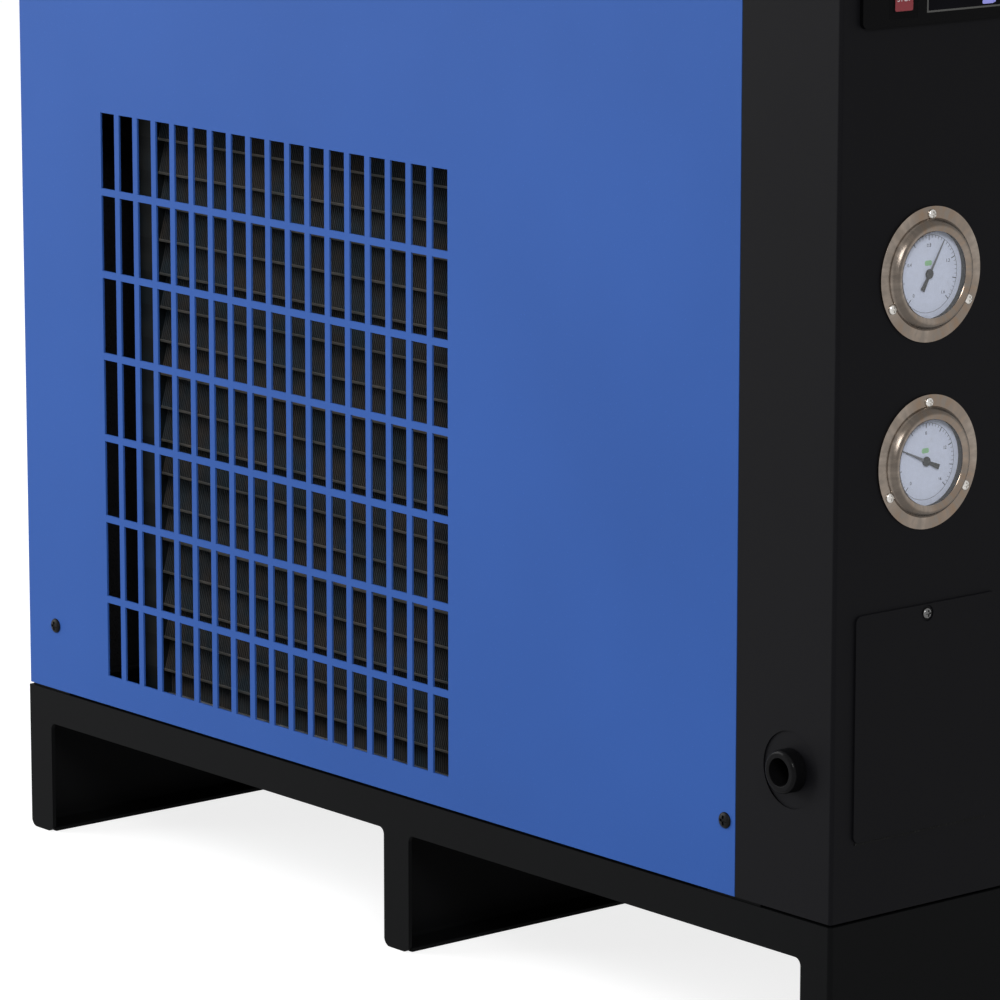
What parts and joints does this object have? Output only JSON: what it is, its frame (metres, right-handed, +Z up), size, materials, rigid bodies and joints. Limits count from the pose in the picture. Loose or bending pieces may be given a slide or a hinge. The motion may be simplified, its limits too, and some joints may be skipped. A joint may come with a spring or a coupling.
{
  "type": "refrigerated air dryer",
  "caption": "Floor-standing refrigerated compressed-air dryer with a grille in each side, front gauges and controls, rear air ports and fork pockets in the base.",
  "frame": {"origin": "centre of the whole box at floor level, under the middle of the dryer", "axes": "+Z up; the front with its gauges faces -Y; the side with the cable gland faces -X"},
  "size_m": [0.5322, 0.9226, 0.89],
  "materials": {
    "black_paint": "satin powder coat",
    "black_screw": "satin",
    "black_texture_paint": "fine-textured powder coat",
    "blue_paint": "satin powder coat",
    "bowl_metal": "cast",
    "brass": "machined",
    "coil_fins": "black-coated fins",
    "compressor_paint": "gloss",
    "contactor_plastic": "moulded",
    "copper": "drawn copper",
    "dial_white": "matt print",
    "display_glass": "gloss",
    "drain_nylon": "nylon tube",
    "fan_paint": "satin",
    "galvanised": "galvanised",
    "gauge_glass": "clear",
    "gland_plastic": "moulded nylon",
    "handle_paint": "dipped red",
    "insulation": "closed-cell foam",
    "key_film": "satin film",
    "matte_black": "matt",
    "panel_plastic": "satin",
    "pointer_black": "matt",
    "rubber": "matt",
    "stainless": "pressed stainless steel",
    "steel": "machined",
    "terminal_plastic": "moulded",
    "zinc_screw": "bright zinc"
  },
  "bodies": {
    "cabinet": {"base_front": "black_paint", "base_side_left": "black_paint", "base_side_right": "black_paint", "base_channel_middle": "black_paint", "base_channel_rear": "black_paint", "base_deck": "black_paint", "post_front_left": "black_paint", "post_front_right": "black_paint", "post_rear_left": "black_paint", "post_rear_right": "black_paint", "side_panel_left": "blue_paint", "side_panel_right": "blue_paint", "rear_panel": "blue_paint", "front_cover": "black_texture_paint", "top_cover": "blue_paint", "panel_screws": "black_screw", "access_cover": "black_texture_paint", "access_cover_screw": "zinc_screw", "control_panel": "panel_plastic", "keypad": "key_film", "display_window": "display_glass", "gauge_screws": "stainless", "cable_gland": "gland_plastic", "cable_gland_nut": "gland_plastic", "condenser_coil": "coil_fins", "condenser_rail": "galvanised", "fan_shroud": "galvanised", "fan_motor": "fan_paint", "motor_bracket": "galvanised", "compressor": "compressor_paint", "compressor_mounts": "rubber", "compressor_terminal_cover": "matte_black", "filter_drier": "copper", "discharge_line": "copper", "liquid_line": "copper", "suction_line": "copper", "heat_exchanger": "insulation", "heat_exchanger_stand": "galvanised", "water_separator": "compressor_paint", "drain_valve": "brass", "auto_drain": "bowl_metal", "drain_pipe": "drain_nylon", "air_inlet_pipe": "steel", "air_outlet_pipe": "steel", "mounting_plate": "galvanised", "contactor": "contactor_plastic", "terminal_block": "terminal_plastic", "upper_gauge_case": "stainless", "upper_gauge_bezel": "stainless", "upper_gauge_glass": "gauge_glass", "upper_gauge_dial": "dial_white", "lower_gauge_case": "stainless", "lower_gauge_bezel": "stainless", "lower_gauge_glass": "gauge_glass", "lower_gauge_dial": "dial_white"},
    "fan": {"fan_rotor": "fan_paint", "fan_shaft": "steel"},
    "upper_pointer": {"upper_gauge_pointer": "pointer_black"},
    "lower_pointer": {"lower_gauge_pointer": "pointer_black"},
    "drain_handle": {"drain_valve_lever": "handle_paint"}
  },
  "joints": [
    {"name": "fan_spin", "type": "hinge", "parent": "cabinet", "child": "fan", "pos_m": [-0.0761, 0.08725, 0.3402], "axis": [1, 0, 0], "continuous": true},
    {"name": "upper_pointer_turn", "type": "hinge", "parent": "cabinet", "child": "upper_pointer", "pos_m": [-0.1786, -0.45275, 0.514], "axis": [0, 1, 0], "range_deg": [-166.1, 103.9]},
    {"name": "lower_pointer_turn", "type": "hinge", "parent": "cabinet", "child": "lower_pointer", "pos_m": [-0.1786, -0.45275, 0.396], "axis": [0, 1, 0], "range_deg": [-68.4, 201.6]},
    {"name": "drain_valve_turn", "type": "hinge", "parent": "cabinet", "child": "drain_handle", "pos_m": [0.0089, 0.30825, 0.2965], "axis": [0, -1, 0], "range_deg": [0, 90]}
  ]
}
